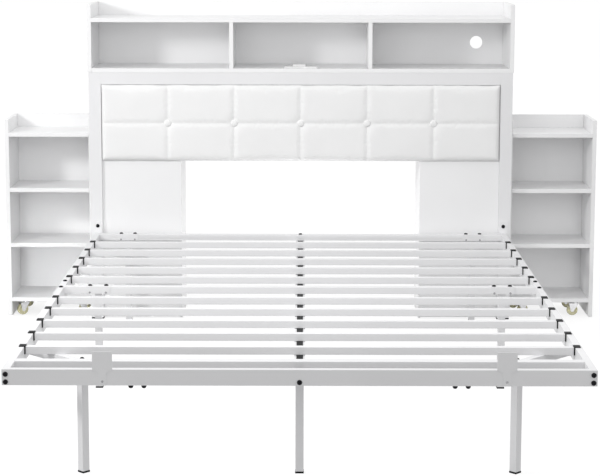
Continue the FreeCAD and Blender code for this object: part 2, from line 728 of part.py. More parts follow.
# Bookcase: ends, shelves, dividers, back with a cable hole, and a low charging dock
pair("bookcase_ends", box("bookcase_end", ("board", "bookcase_depth", "bookcase_height"),
                          ("bookcase_inner", "post_y", "post_top")))
shelf_size = ("2 * bookcase_inner", "bookcase_depth - thin_board", "board")
node("bookcase_shelves", box("bookcase_floor", shelf_size, ("-bookcase_inner", "post_y", "post_top")),
     box("bookcase_top", shelf_size, ("-bookcase_inner", "post_y", "top_shelf_bottom")))
divider_size = ("board", "bookcase_depth - thin_board", "top_shelf_bottom - cubby_floor")
pair("bookcase_dividers", box("divider", divider_size, ("divider_x - board / 2", "post_y", "cubby_floor")))
back_board = box("back_board", ("2 * bookcase_inner", "thin_board", "bookcase_height"),
                 ("-bookcase_inner", "shelf_back_y", "post_top"))
cable_hole = cylinder("cable_hole", "cable_hole_radius", "thin_board + 2 * drill_margin",
                      ("cable_hole_x", "shelf_back_y - drill_margin", "post_top + cable_hole_rise"), "y")
node("bookcase_back", cut("bookcase_back_cut", back_board, cable_hole))
node("charging_dock", fuse(
    "dock",
    box("dock_base", ("dock_width", "dock_depth", "dock_height"),
        ("-dock_width / 2", "post_y + dock_setback", "cubby_floor")),
    box("dock_cap", ("dock_cap_width", "dock_cap_depth", "dock_cap_height"),
        ("-dock_cap_width / 2 - dock_cap_shift", "post_y + dock_setback + (dock_depth - dock_cap_depth) / 2",
         "cubby_floor + dock_height"))))

# Roll-out cabinets: two sides, four shelves and a back
side_size = ("board", "cabinet_depth", "cabinet_height - cabinet_skirt_gap")
both_sides("cabinet_outer_side", box("cabinet_outer", side_size,
                                     ("cabinet_outer_x - board", "cabinet_front", "cabinet_skirt_gap")))
both_sides("cabinet_inner_side", box("cabinet_inner", side_size,
                                     ("cabinet_inner_x", "cabinet_front", "cabinet_skirt_gap")))
cabinet_shelves = []
for index in range(CABINET_SHELVES):
    height = f"caster_height + {index} * cabinet_shelf_rise / {CABINET_SHELVES - 1}"
    shelf_size = ("cabinet_clear_width", "cabinet_depth - thin_board", "board")
    shelf_at = ("cabinet_inner_x + board", "cabinet_front", height)
    cabinet_shelves.append(box(f"cabinet_shelf_{index}", shelf_size, shelf_at))
both_sides("cabinet_shelves", group("cabinet_shelf_set", *cabinet_shelves))
back_size = ("cabinet_clear_width", "thin_board", "cabinet_height - caster_height")
both_sides("cabinet_back", box("cabinet_back_board", back_size,
                               ("cabinet_inner_x + board", "cabinet_back - thin_board", "caster_height")))

# Swivel caster, made once about its kingpin with the wheel trailing towards +X
caster_plate = box("caster_plate", ("caster_plate_size", "caster_plate_size", "caster_plate_thickness"),
                   ("-caster_plate_size / 2", "-caster_plate_size / 2", "plate_bottom"))
kingpin_low = "slot_top - kingpin_head_height - swivel_gap"
kingpin = cylinder("kingpin", "kingpin_radius", f"plate_bottom - ({kingpin_low})", ("0", "0", kingpin_low))
kingpin_head = cylinder("kingpin_head", "kingpin_head_radius", "kingpin_head_height",
                        ("0", "0", kingpin_low))
swivel_plate = fuse("swivel_plate", caster_plate, kingpin, kingpin_head)

fork_blank = doc.addObject("Part::Wedge", "fork_blank")
wedge_sizes = {
    "Xmin": "caster_trail - fork_boss_radius", "Xmax": "caster_trail + fork_boss_radius",
    "X2min": "(caster_trail - fork_top_width) / 2", "X2max": "(caster_trail + fork_top_width) / 2",
    "Ymin": "wheel_radius", "Ymax": "fork_top",
    "Zmin": "-fork_width / 2", "Zmax": "fork_width / 2",
    "Z2min": "-fork_width / 2", "Z2max": "fork_width / 2"}
for prop, text in wedge_sizes.items():
    fork_blank.setExpression(prop, bind(text))
put(fork_blank, ("0", "0", "0"), STAND_UP)
axle_ends = ("caster_trail", "-fork_width / 2", "wheel_radius")
fork_boss = cylinder("fork_boss", "fork_boss_radius", "fork_width", axle_ends, "y")
fork_slot = box("fork_slot", ("2 * fork_top_width", "slot_width", "slot_top"),
                ("-fork_top_width", "-slot_width / 2", "0"))
swivel_cup = cylinder("swivel_cup", "swivel_radius", "plate_bottom - swivel_gap - fork_top",
                      ("0", "0", "fork_top"))
pin_hole = cylinder("pin_hole", "kingpin_radius + kingpin_clearance", "caster_height", ("0", "0", "0"))
axle_hole = cylinder("axle_hole", "axle_radius + axle_clearance", "fork_width", axle_ends, "y")
fork_cheeks = cut("fork_cheeks", fuse("fork_solid", fork_blank, fork_boss), fork_slot)
fork = cut("fork", fuse("fork_with_cup", fork_cheeks, swivel_cup), group("fork_holes", pin_hole, axle_hole))
axle_rod = cylinder("axle_rod", "axle_radius", "fork_width", axle_ends, "y")
near_head = cylinder("axle_near_head", "axle_head_radius", "axle_head_height",
                     ("caster_trail", "-fork_width / 2 - axle_head_height", "wheel_radius"), "y")
far_head = cylinder("axle_far_head", "axle_head_radius", "axle_head_height",
                    ("caster_trail", "fork_width / 2", "wheel_radius"), "y")
axle = fuse("axle", axle_rod, near_head, far_head)
fork_set = group("fork_set", fork, axle)

bore = "axle_radius + axle_clearance"
wheel_points = [
    (bore, "wheel_dish_depth"), ("wheel_dish_radius", "wheel_dish_depth"), ("wheel_dish_radius", "0"),
    ("wheel_radius - wheel_round", "0"), ("wheel_radius", "wheel_round"),
    ("wheel_radius", "wheel_width - wheel_round"), ("wheel_radius - wheel_round", "wheel_width"),
    ("wheel_dish_radius", "wheel_width"), ("wheel_dish_radius", "wheel_width - wheel_dish_depth"),
    (bore, "wheel_width - wheel_dish_depth")]
wheel = turned("wheel", wheel_points, ("caster_trail", "-wheel_width / 2", "wheel_radius"))

# Casters under both cabinets, each turned its own way
across_places = {"outer": "cabinet_outer_x - caster_inset_x", "inner": "cabinet_inner_x + caster_inset_x"}
along_places = {"front": "cabinet_front + caster_inset_y", "rear": "cabinet_back - caster_inset_y"}
for side in SIDES:
    plates = []
    for across, x_place in across_places.items():
        for along, y_place in along_places.items():
            corner = f"{across}_{along}"
            stand = (signed(side, x_place), y_place, "0")
            turn = CASTER_TURNS[side][corner]
            plates.append(copy_of(swivel_plate, f"{side}_{corner}_plate", stand))
            node(f"{side}_{corner}_fork", copy_of(fork_set, f"{side}_{corner}_fork_set", stand, turn))
            node(f"{side}_{corner}_wheel", copy_of(wheel, f"{side}_{corner}_roller", stand, turn))
    node(f"{side}_caster_plates", *plates)

doc.recompute()
for item in doc.Objects:
    if "Invalid" in item.State or "Error" in item.State:
        raise RuntimeError(f"{item.Name} did not build: {item.State}")
for label, piece in NODES.items():
    if piece.Shape.isNull() or not piece.Shape.isValid() or not piece.Shape.Solids:
        raise RuntimeError(f"{label} has no valid solid")

os.makedirs("parts", exist_ok=True)
for label, piece in NODES.items():
    piece.Shape.exportStep(f"parts/{label}.step")
print(len(NODES), "sub-parts,", sum(len(piece.Shape.Solids) for piece in NODES.values()), "solids")
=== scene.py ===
"""Finishes, tufted pad, fittings and studio for a steel bed with a bookcase headboard."""

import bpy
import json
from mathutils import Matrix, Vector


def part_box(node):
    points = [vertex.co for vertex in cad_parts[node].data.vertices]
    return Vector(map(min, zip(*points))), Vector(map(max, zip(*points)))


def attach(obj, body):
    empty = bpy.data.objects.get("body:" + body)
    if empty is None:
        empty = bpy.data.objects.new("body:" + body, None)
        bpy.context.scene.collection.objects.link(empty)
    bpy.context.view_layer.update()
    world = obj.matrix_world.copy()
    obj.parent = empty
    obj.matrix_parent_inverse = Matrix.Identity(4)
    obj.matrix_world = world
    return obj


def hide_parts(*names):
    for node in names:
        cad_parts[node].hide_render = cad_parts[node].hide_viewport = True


bl_info = {
    "name": "Bookcase bed looks",
    "version": (1, 0, 0),
    "blender": (4, 5, 0),
    "location": "View3D > Sidebar > Bed",
    "description": "Finishes, tufted pad, fittings and studio for a bed with a bookcase headboard",
    "category": "Object",
}

import json
import math
from collections import namedtuple

import bmesh
import bpy
from bpy.props import FloatProperty, FloatVectorProperty, IntProperty, PointerProperty
from bpy.types import Operator, Panel, PropertyGroup
from mathutils import Matrix, Vector, noise

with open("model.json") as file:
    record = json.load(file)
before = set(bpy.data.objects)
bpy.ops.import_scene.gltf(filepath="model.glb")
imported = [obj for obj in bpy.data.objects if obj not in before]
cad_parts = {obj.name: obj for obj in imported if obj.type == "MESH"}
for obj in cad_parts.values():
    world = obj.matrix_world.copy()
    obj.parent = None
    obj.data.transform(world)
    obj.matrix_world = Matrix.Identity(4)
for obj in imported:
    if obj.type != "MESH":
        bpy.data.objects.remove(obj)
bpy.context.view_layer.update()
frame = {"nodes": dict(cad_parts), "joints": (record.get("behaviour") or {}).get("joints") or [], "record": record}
NODES = frame["nodes"]
JOINTS = {joint["name"]: joint for joint in frame["joints"]}
SLOT_OF = {part["node"]: part["material_slot"] for part in frame["record"]["subparts"]}

SIDES = {"left": -1, "right": 1}
CORNERS = ("outer_front", "outer_rear", "inner_front", "inner_rear")
TURN = 2 * math.pi


# Settings

def length(name, description, default):
    return FloatProperty(name=name, description=description, default=default, min=0, precision=5,
                         unit="LENGTH")


def share(name, description, default):
    return FloatProperty(name=name, description=description, default=default, min=0, max=1, subtype="FACTOR")


def colour(name, description, default):
    return FloatVectorProperty(name=name, description=description, default=default, size=3, min=0, max=1,
                               subtype="COLOR")


def amount(name, description, default):
    return FloatProperty(name=name, description=description, default=default, min=0)


def angle(name, description, degrees):
    return FloatProperty(name=name, description=description, default=math.radians(degrees), unit="ROTATION")


def position(name, description, default):
    return FloatVectorProperty(name=name, description=description, default=default, size=3, subtype="XYZ",
                               unit="LENGTH")


def tally(name, description, default, least):
    return IntProperty(name=name, description=description, default=default, min=least)


class SteelSettings(PropertyGroup):
    """Painted tubes, posts and plates"""
    tint: colour("Paint", "White of the powder paint", (0.82, 0.82, 0.83))
    roughness: share("Roughness", "Gloss of the paint, satin", 0.40)
    edge: length("Edge", "Rounding of the tube and plate edges", 0.00055)
    peel: length("Peel", "Size of the paint's fine orange peel", 0.0016)
    peel_depth: length("Peel depth", "Height of the orange peel", 0.00004)


class BoardSettings(PropertyGroup):
    """Laminated boards of the headboard, bookcase and cabinets"""
    tint: colour("Laminate", "White of the laminated board", (0.90, 0.90, 0.905))
    roughness: share("Roughness", "Gloss of the laminate", 0.36)
    edge: length("Edge", "Rounding of the banded edges", 0.0011)
    grain: length("Grain", "Width of the embossed grain lines", 0.0035)
    grain_depth: length("Grain depth", "Height of the embossed grain", 0.00006)


class PadSettings(PropertyGroup):
    """Tufted pad of the headboard and its buttons"""
    tint: colour("Leatherette", "White of the cover", (0.88, 0.88, 0.88))
    roughness: share("Roughness", "Gloss of the cover", 0.46)
    pebble: length("Pebble", "Size of the cover's pebble grain", 0.0013)
    pebble_depth: length("Pebble depth", "Height of the pebble grain", 0.00012)
    columns: tally("Columns", "Tufted cells side by side", 6, 1)
    rows: tally("Rows", "Tufted cells on top of each other", 2, 1)
    step: length("Step", "Spacing of the cover's mesh", 0.005)
    shoulder: length("Shoulder", "Width of the slope beside an upright seam", 0.022)
    level_shoulder: length("Level shoulder", "Width of the slope beside the level seam", 0.015)
    seam_depth: length("Seam depth", "How far a seam is drawn in", 0.0042)
    level_depth: length("Level depth", "How far the level seam is drawn in", 0.0026)
    border_roll: length("Border roll", "Radius of the roll along the border", 0.016)
    border_height: length("Border height", "Height of the pad along its border", 0.005)
    top_fullness: length("Top fullness", "How much higher the border stands where it is gathered at the top",
                         0.0045)
    top_lift: length("Top lift", "How far the gathered border is drawn up to the rail", 0.0008)
    border_slope: length("Border slope", "Fall of the cells towards the border", 0.002)
    dimple: length("Dimple", "Reach of the hollow round a button", 0.040)
    swell: length("Swell", "How much the simulation raises the cells at most", 0.0012)
    pressure: amount("Pressure", "Pressure under the cover in the simulation", 4.0)
    frames: tally("Frames", "Length of the simulation in frames", 20, 2)
    pucker: length("Pucker", "Height of the small folds along the seams", 0.0004)
    crease: length("Crease", "Depth of the folds that run out from a button", 0.0012)
    fill: share("Fill", "How tightly the pad is stuffed", 0.85)


class FittingSettings(PropertyGroup):
    """Bolts, screws, clips, feet and dock"""
    bolt_tint: colour("Bolts", "Black of the oxidised bolts", (0.022, 0.022, 0.024))
    screw_tint: colour("Screws", "Grey of the plated screws", (0.45, 0.45, 0.46))
    clip_tint: colour("Clips", "Black of the moulded clips and feet", (0.012, 0.012, 0.013))
    clip_gloss: share("Clip gloss", "How much the black mouldings reflect", 0.12)
    clip_edge: length("Clip edge", "Rounding of the black mouldings", 0.0007)
    dock_tint: colour("Dock", "White of the moulded dock", (0.82, 0.82, 0.82))
    dock_gloss: share("Dock gloss", "How much the white moulding reflects", 0.5)
    dock_edge: length("Dock edge", "Rounding of the white moulding", 0.0014)
    screw_limit: length("Screw limit", "A head narrower than this is a screw's", 0.010)
    segments: tally("Segments", "Sides of a round head", 24, 12)


class CasterSettings(PropertyGroup):
    """Casters under the cabinets"""
    steel_tint: colour("Zinc", "Grey of the plated forks", (0.74, 0.74, 0.75))
    wheel_tint: colour("Wheel", "Pale amber of the clear wheels", (0.93, 0.89, 0.58))
    edge: length("Edge", "Rounding of the pressed steel", 0.0003)
    segments: tally("Segments", "Sides of a wheel", 48, 16)


class StageSettings(PropertyGroup):
    """Floor, surroundings, lamps and camera"""
    fill_light: amount("Fill", "Strength of the white surroundings", 0.89)
    key_energy: amount("Key", "Power of the lamp at the left of the bed, in watts", 34.0)
    key_width: length("Key width", "Width of the lamp", 0.45)
    key_place: position("Key place", "Where the lamp hangs", (-2.75, -1.05, 1.8))
    key_target: position("Key target", "Where the lamp points", (0.0, 0.95, 0.8))
    soft_energy: amount("Soft", "Power of the broad lamp over the deck, in watts", 7.4)
    soft_width: length("Soft width", "Width of the broad lamp", 2.0)
    soft_height: length("Soft height", "Height of the broad lamp", 0.9)
    soft_place: position("Soft place", "Where the broad lamp hangs", (-0.1, -1.05, 1.2))
    soft_target: position("Soft target", "Where the broad lamp points", (0.0, 0.95, 0.7))
    low_energy: FloatVectorProperty(name="Low", size=2, default=(0.16, 0.05), min=0,
                                    description="Power of the left and right lamp near the floor, in watts")
    low_width: length("Low width", "Width of the lamps near the floor", 0.25)
    low_spread: angle("Low spread", "How wide the beams of the lamps near the floor are", 22)
    low_place: position("Low place", "Where the right lamp near the floor stands", (1.3, -0.9, 0.18))
    low_target: position("Low target", "Where the right lamp near the floor points", (0.944, 0.95, 0.12))
    niche_energy: amount("Niche", "Power of the lamp on the floor between the inner walls, in watts", 2.0)
    niche_width: length("Niche width", "Width of the lamp between the inner walls", 0.4)
    floor_glow: share("Floor glow", "White that the camera sees on the floor besides its light", 0.80)
    floor_matt: share("Floor matt", "Share of the light on the floor that the camera sees", 0.25)
    floor_bounce: share("Floor bounce", "Share of the light that the floor throws back at the bed", 0.32)
    camera_place: position("Camera place", "Where the camera stands", (0.0051, -5.5747, 1.4522))
    camera_pitch: angle("Pitch", "How far the camera looks down", 8.0264)
    camera_yaw: angle("Yaw", "How far the camera turns to the right", -0.0631)
    camera_roll: angle("Roll", "How far the camera leans", 0.1023)
    camera_lens: FloatProperty(name="Lens", description="Focal length on a 36 mm wide sensor", default=105.15,
                               min=1, unit="CAMERA")
    camera_shift: FloatProperty(name="Shift", description="Upward shift of the frame", default=-0.10)


# Meshes

SAME_POINT = 1e-6
WELD_DISTANCE = 1e-5
FLAT_ANGLE = math.radians(0.5)
EDGE_ANGLE = math.radians(35)
EDGE_SEGMENTS = 2


def new_piece(name, mesh, material, body):
    """A finished piece of the object, from a bmesh in the frame of the whole bed."""
    bmesh.ops.recalc_face_normals(mesh, faces=mesh.faces)
    data = bpy.data.meshes.new(name)
    mesh.to_mesh(data)
    mesh.free()
    for face in data.polygons:
        face.use_smooth = True
    piece = bpy.data.objects.new(name, data)
    bpy.context.scene.collection.objects.link(piece)
    data.materials.append(material)
    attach(piece, body)
    return piece


def subdivide(piece, levels):
    """Rounds a piece between its mesh points."""
    modifier = piece.modifiers.new("rounding", "SUBSURF")
    modifier.levels = levels
    modifier.render_levels = levels


def dress(node, material, edge):
    """Gives a CAD node its finish and small rounded edges."""
    piece = NODES[node]
    if not piece.material_slots:
        piece.data.materials.append(material)
    for slot in piece.material_slots:
        slot.material = material
    weld = piece.modifiers.new("weld", "WELD")
    weld.merge_threshold = WELD_DISTANCE
    flat = piece.modifiers.new("flat", "DECIMATE")
    flat.decimate_type = "DISSOLVE"
    flat.angle_limit = FLAT_ANGLE
    bevel = piece.modifiers.new("edge", "BEVEL")
    bevel.width = edge
    bevel.segments = EDGE_SEGMENTS
    bevel.limit_method = "ANGLE"
    bevel.angle_limit = EDGE_ANGLE
    bevel.harden_normals = True


def nodes_of(slot):
    """Names of the CAD nodes with one kind of material."""
    return [node for node, named in SLOT_OF.items() if named == slot]


def solids_of(node):
    """Each separate solid of a CAD node, as the list of its corner points."""
    mesh = bmesh.new()
    mesh.from_mesh(NODES[node].data)
    bmesh.ops.remove_doubles(mesh, verts=mesh.verts, dist=SAME_POINT)
    found, seen = [], set()
    for start in mesh.verts:
        if start in seen:
            continue
        seen.add(start)
        solid, waiting = [], [start]
        while waiting:
            corner = waiting.pop()
            solid.append(corner.co.copy())
            for edge in corner.link_edges:
                other = edge.other_vert(corner)
                if other not in seen:
                    seen.add(other)
                    waiting.append(other)
        found.append(solid)
    mesh.free()
    return found


def corners(points):
    """Lowest and highest corner of some points."""
    low = Vector([min(point[i] for point in points) for i in range(3)])
    high = Vector([max(point[i] for point in points) for i in range(3)])
    return low, high


def ring(mesh, radius, height, segments, waves=0, depth=0.0):
    """A circle of points about Z, drawn in a little at each wave."""
    points = []
    for index in range(segments):
        turn = TURN * index / segments
        out = radius * (1 - depth * (0.5 + 0.5 * math.cos(waves * turn)))
        points.append(mesh.verts.new((out * math.cos(turn), out * math.sin(turn), height)))
    return points


def join_rings(mesh, rings):
    """Walls of quads from each closed ring of points to the next."""
    for lower, upper in zip(rings, rings[1:]):
        for index in range(len(lower)):
            after = (index + 1) % len(lower)
            mesh.faces.new((lower[index], lower[after], upper[after], upper[index]))


def turned_solid(profile, segments, waves=0, depth=0.0):
    """A closed solid of revolution about Z from (radius, height) steps, with flat ends."""
    mesh = bmesh.new()
    rings = [ring(mesh, radius, height, segments, waves, depth) for radius, height in profile]
    join_rings(mesh, rings)
    mesh.faces.new(list(reversed(rings[0])))
    mesh.faces.new(rings[-1])
    return mesh


def facing(direction):
    """Turns Z to a direction."""
    return Vector(direction).to_track_quat("Z", "Y").to_matrix().to_4x4()


def gather(parts):
    """One bmesh from several."""
    whole = bmesh.new()
    for part in parts:
        data = bpy.data.meshes.new("part")
        part.to_mesh(data)
        part.free()
        whole.from_mesh(data)
        bpy.data.meshes.remove(data)
    return whole


# Finishes

WHITE = (1, 1, 1, 1)
NOISE_BAND = (0.3, 0.7)

# Size of the slow drifts of tone, how dark they get, and how far the roughness goes down and up
Finish = namedtuple("Finish", "drift dark smooth rough")
PAINT = Finish(drift=0.25, dark=0.965, smooth=0.04, rough=0.06)
LAMINATE = Finish(drift=0.30, dark=0.97, smooth=0.05, rough=0.07)
LEATHERETTE = Finish(drift=0.18, dark=0.97, smooth=0.05, rough=0.07)
MOULDING = Finish(drift=0.05, dark=0.85, smooth=0.06, rough=0.08)
PLATING = Finish(drift=0.012, dark=0.80, smooth=0.08, rough=0.10)

ALONG_GRAIN = 0.03
WEAR_SIZE = 0.02
WEAR_DEPTH = 2
SPARK_DEPTH = 0.04
STREAK_STRETCH = (1, 1, 6)
STREAK_DEPTH = 0.02
CLOUD_SIZE = 0.008
CLOUD_DARK = 0.86
CLOUD_ROUGHNESS = (0.16, 0.30)
CLOUD_DEPTH = 0.0001


def new_material(name):
    """A material with its node tree and its main shader."""
    material = bpy.data.materials.new(name)
    material.use_nodes = True
    return material, material.node_tree, material.node_tree.nodes["Principled BSDF"]


def wire(tree, node, **sockets):
    """Fills a node's sockets, each with a number, a colour or another node's output."""
    for name, value in sockets.items():
        socket = node.inputs[name.replace("_", " ")]
        if isinstance(value, bpy.types.NodeSocket):
            tree.links.new(value, socket)
        else:
            socket.default_value = value


def add(tree, kind, settings=None, **sockets):
    """A new shader node with its settings and sockets filled."""
    node = tree.nodes.new(kind)
    for name, value in (settings or {}).items():
        setattr(node, name, value)
    wire(tree, node, **sockets)
    return node


def place_on(tree, stretch=(1, 1, 1)):
    """The point on the piece, in metres, stretched along its axes."""
    place = add(tree, "ShaderNodeTexCoord").outputs["Object"]
    return add(tree, "ShaderNodeMapping", Vector=place, Scale=stretch).outputs["Vector"]


def clouds(tree, place, size, detail=2.0):
    """Cloudy noise with spots of a size in metres."""
    return add(tree, "ShaderNodeTexNoise", Vector=place, Scale=1 / size, Detail=detail).outputs[0]


def between(tree, factor, low, high):
    """A number that goes from low to high with a texture."""
    start, end = NOISE_BAND
    node = add(tree, "ShaderNodeMapRange", Value=factor, From_Min=start, From_Max=end,
               To_Min=low, To_Max=high)
    return node.outputs["Result"]


def tones(tree, factor, dark, light):
    """A colour that goes from dark to light with a texture."""
    ramp = add(tree, "ShaderNodeValToRGB", Fac=factor)
    for element, position, tone in zip(ramp.color_ramp.elements, NOISE_BAND, (dark, light)):
        element.position = position
        element.color = (*tone, 1)
    return ramp.outputs["Color"]


def shade(tint, factor):
    return tuple(channel * factor for channel in tint)


def grey(level):
    return level, level, level, 1


def drifting(tree, place, tint, finish):
    """A tint that drifts slowly to a darker one and back."""
    drift = clouds(tree, place, finish.drift, detail=3.0)
    return tones(tree, drift, shade(tint, finish.dark), tint)


def uneven(tree, texture, roughness, finish):
    """A roughness that goes down and up a little with a texture."""
    return between(tree, texture, roughness - finish.smooth, roughness + finish.rough)


def relief(tree, height, depth, under=None):
    """Fine relief from a texture, on top of another relief if one is given."""
    sockets = {"Height": height, "Distance": depth, "Strength": 1.0}
    if under is not None:
        sockets["Normal"] = under
    return add(tree, "ShaderNodeBump", **sockets).outputs["Normal"]


def powder_paint(steel):
    """Satin powder paint with a fine orange peel."""
    material, tree, shader = new_material("white_powder_paint")
    place = place_on(tree)
    peel = clouds(tree, place, steel.peel)
    wire(tree, shader,
         Base_Color=drifting(tree, place, steel.tint, PAINT),
         Roughness=uneven(tree, peel, steel.roughness, PAINT),
         Normal=relief(tree, peel, steel.peel_depth))
    return material


def laminate(board, name, stretch):
    """White laminate with a faint embossed grain along one direction."""
    material, tree, shader = new_material(name)
    grain = clouds(tree, place_on(tree, stretch), board.grain, detail=3.0)
    wire(tree, shader,
         Base_Color=drifting(tree, place_on(tree), board.tint, LAMINATE),
         Roughness=uneven(tree, grain, board.roughness, LAMINATE),
         Normal=relief(tree, grain, board.grain_depth))
    return material


def leatherette(pad):
    """Coated cover with a pebble grain and slow drifts of tone."""
    material, tree, shader = new_material("white_leatherette")
    place = place_on(tree)
    pebbles = add(tree, "ShaderNodeTexVoronoi", {"feature": "SMOOTH_F1"}, Vector=place,
                  Scale=1 / pad.pebble).outputs["Distance"]
    wear = clouds(tree, place, WEAR_SIZE, detail=4.0)
    soft = relief(tree, wear, pad.pebble_depth * WEAR_DEPTH)
    wire(tree, shader,
         Base_Color=drifting(tree, place, pad.tint, LEATHERETTE),
         Roughness=uneven(tree, wear, pad.roughness, LEATHERETTE),
         Sheen_Weight=0.08,
         Normal=relief(tree, pebbles, pad.pebble_depth, soft))
    return material


def moulded(name, tint, roughness, gloss, texture):
    """Moulded plastic with a fine spark texture."""
    material, tree, shader = new_material(name)
    place = place_on(tree)
    sparks = clouds(tree, place, texture)
    wire(tree, shader,
         Base_Color=drifting(tree, place, tint, MOULDING),
         Roughness=uneven(tree, sparks, roughness, MOULDING),
         Specular_IOR_Level=gloss,
         Normal=relief(tree, sparks, texture * SPARK_DEPTH))
    return material


def plated(name, tint, roughness, streak):
    """Plated or oxidised steel with fine streaks."""
    material, tree, shader = new_material(name)
    streaks = clouds(tree, place_on(tree, STREAK_STRETCH), streak, detail=3.0)
    wire(tree, shader,
         Base_Color=drifting(tree, place_on(tree), tint, PLATING),
         Metallic=1.0,
         Roughness=uneven(tree, streaks, roughness, PLATING),
         Normal=relief(tree, streaks, streak * STREAK_DEPTH))
    return material


def clear_wheel(caster):
    """Clear amber plastic with cloudy depth."""
    material, tree, shader = new_material("amber_wheel")
    cloud = clouds(tree, place_on(tree), CLOUD_SIZE, detail=3.0)
    wire(tree, shader,
         Base_Color=tones(tree, cloud, shade(caster.wheel_tint, CLOUD_DARK), caster.wheel_tint),
         Roughness=between(tree, cloud, *CLOUD_ROUGHNESS),
         IOR=1.5,
         Transmission_Weight=0.35,
         Normal=relief(tree, cloud, CLOUD_DEPTH))
    return material


# Pieces

class BED_OT_steel_frame(Operator):
    """Paints the tubes, posts and plates of the bed frame and headboard"""
    bl_idname = "bed.steel_frame"
    bl_label = "Steel frame"

    def execute(self, context):
        steel = context.scene.bed_steel
        paint = powder_paint(steel)
        for node in nodes_of("white_steel"):
            dress(node, paint, steel.edge)
        return {"FINISHED"}


class BED_OT_boards(Operator):
    """Finishes the panels, bookcase and cabinets in white laminate"""
    bl_idname = "bed.boards"
    bl_label = "Boards"

    def execute(self, context):
        board = context.scene.bed_board
        upright = laminate(board, "upright_laminate", (1, 1, ALONG_GRAIN))
        level = laminate(board, "level_laminate", (ALONG_GRAIN, 1, 1))
        for node in nodes_of("white_board"):
            low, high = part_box(node)
            tall = high.z - low.z > high.x - low.x
            dress(node, upright if tall else level, board.edge)
        return {"FINISHED"}


class BED_OT_fittings(Operator):
    """Finishes the black clips, strip and feet and the white dock"""
    bl_idname = "bed.fittings"
    bl_label = "Clips, feet and dock"

    def execute(self, context):
        fitting = context.scene.bed_fitting
        black = moulded("black_moulding", fitting.clip_tint, roughness=0.46, gloss=fitting.clip_gloss,
                        texture=0.0008)
        white = moulded("white_moulding", fitting.dock_tint, roughness=0.30, gloss=fitting.dock_gloss,
                        texture=0.0010)
        for node in nodes_of("black_plastic"):
            dress(node, black, fitting.clip_edge)
        for node in nodes_of("white_plastic"):
            dress(node, white, fitting.dock_edge)
        return {"FINISHED"}


# Steps of a bolt head from its seat to its top, as shares of its radius and height
HEAD_PROFILE = ((0.97, 0.0), (1.0, 0.10), (1.0, 0.38), (0.93, 0.62), (0.78, 0.84), (0.58, 0.97), (0.50, 1.0))
HEAD_RIM = 0.9
SOCKET_LEVELS = (0.97, 0.45)
SOCKET_REACH = 0.46
SOCKET_SIXTH = TURN / 6


def bolt_head(points, segments):
    """A domed head with a hexagon socket where a CAD bolt has its head."""
    low, high = corners(points)
    size = high - low
    axis = min(range(3), key=lambda i: abs(size[(i + 1) % 3] - size[(i + 2) % 3]))
    across = [i for i in range(3) if i != axis]
    radius = max(size[i] for i in across) / 2
    centre = (low + high) / 2
    rim = [p[axis] for p in points if math.hypot(*(p[i] - centre[i] for i in across)) > HEAD_RIM * radius]
    seat, top = min(rim), max(rim)
    outward = 1 if (seat + top) / 2 > centre[axis] else -1
    height = high[axis] - seat if outward > 0 else top - low[axis]
    mesh = bmesh.new()
    rings = [ring(mesh, radius * out, height * up, segments) for out, up in HEAD_PROFILE]
    join_rings(mesh, rings)
    mesh.faces.new(list(reversed(rings[0])))
    socket = [rings[-1]]
    for level in SOCKET_LEVELS:
        edge = []
        for index in range(segments):
            turn = TURN * index / segments
            flat = math.cos(SOCKET_SIXTH / 2) / math.cos((turn % SOCKET_SIXTH) - SOCKET_SIXTH / 2)
            reach = SOCKET_REACH * radius * flat
            edge.append(mesh.verts.new((reach * math.cos(turn), reach * math.sin(turn), level * height)))
        socket.append(edge)
    join_rings(mesh, socket)
    mesh.faces.new(socket[-1])
    direction = Vector([outward if i == axis else 0 for i in range(3)])
    base = centre.copy()
    base[axis] = seat if outward > 0 else top
    mesh.transform(Matrix.Translation(base) @ facing(direction))
    return mesh


class BED_OT_bolts(Operator):
    """Builds domed socket heads over the frame's bolts and screws"""
    bl_idname = "bed.bolts"
    bl_label = "Bolts"

    def execute(self, context):
        fitting = context.scene.bed_fitting
        black = plated("black_oxide", fitting.bolt_tint, roughness=0.42, streak=0.0015)
        zinc = plated("zinc_screws", fitting.screw_tint, roughness=0.38, streak=0.0015)
        bolts, screws = [], []
        for points in solids_of("frame_bolts"):
            low, high = corners(points)
            small = sorted(high - low)[1] < fitting.screw_limit
            (screws if small else bolts).append(bolt_head(points, fitting.segments))
        piece = new_piece("bolt_heads", gather(bolts), black, "bed")
        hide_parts("frame_bolts")
        new_piece("screw_heads", gather(screws), zinc, "bed")
        return {"FINISHED"}


SEAM_STEEPNESS = 2.6
SLOPE_REACH = 3
BUTTON_HOLD = 0.8
GATHER_REACH = 2
GATHER_MEAN = 0.65
GATHER_SWING = 2
GATHER_LENGTH = 0.06
GATHER_NOISE = (2.0, 8.0)
PUCKER_LENGTH = 0.011
PUCKER_REACH = 0.010
PUCKER_START = 0.004
UPRIGHT_NOISE = (0.0, 3.0)
LEVEL_NOISE = (7.0, 3.0)
CREASE_REACH = 0.035
CREASE_SPREAD = 2.2
CREASE_SHIFT = 9
CREASE_NOISE = 5.0
THINNEST = 0.001
HIGHEST_FOLD = 0.002
NO_MOVE = 1e-9

# Steps of a button from its rim to its top, as shares of its radius and height
BUTTON_PROFILE = ((0.86, 0.0), (0.97, 0.10), (1.0, 0.30), (0.93, 0.58), (0.74, 0.83), (0.42, 0.97),
                  (0.12, 1.0))


def near(distance, reach):
    """1 at a seam, falling to 0 at its reach."""
    return 1 - min(distance / reach, 1)


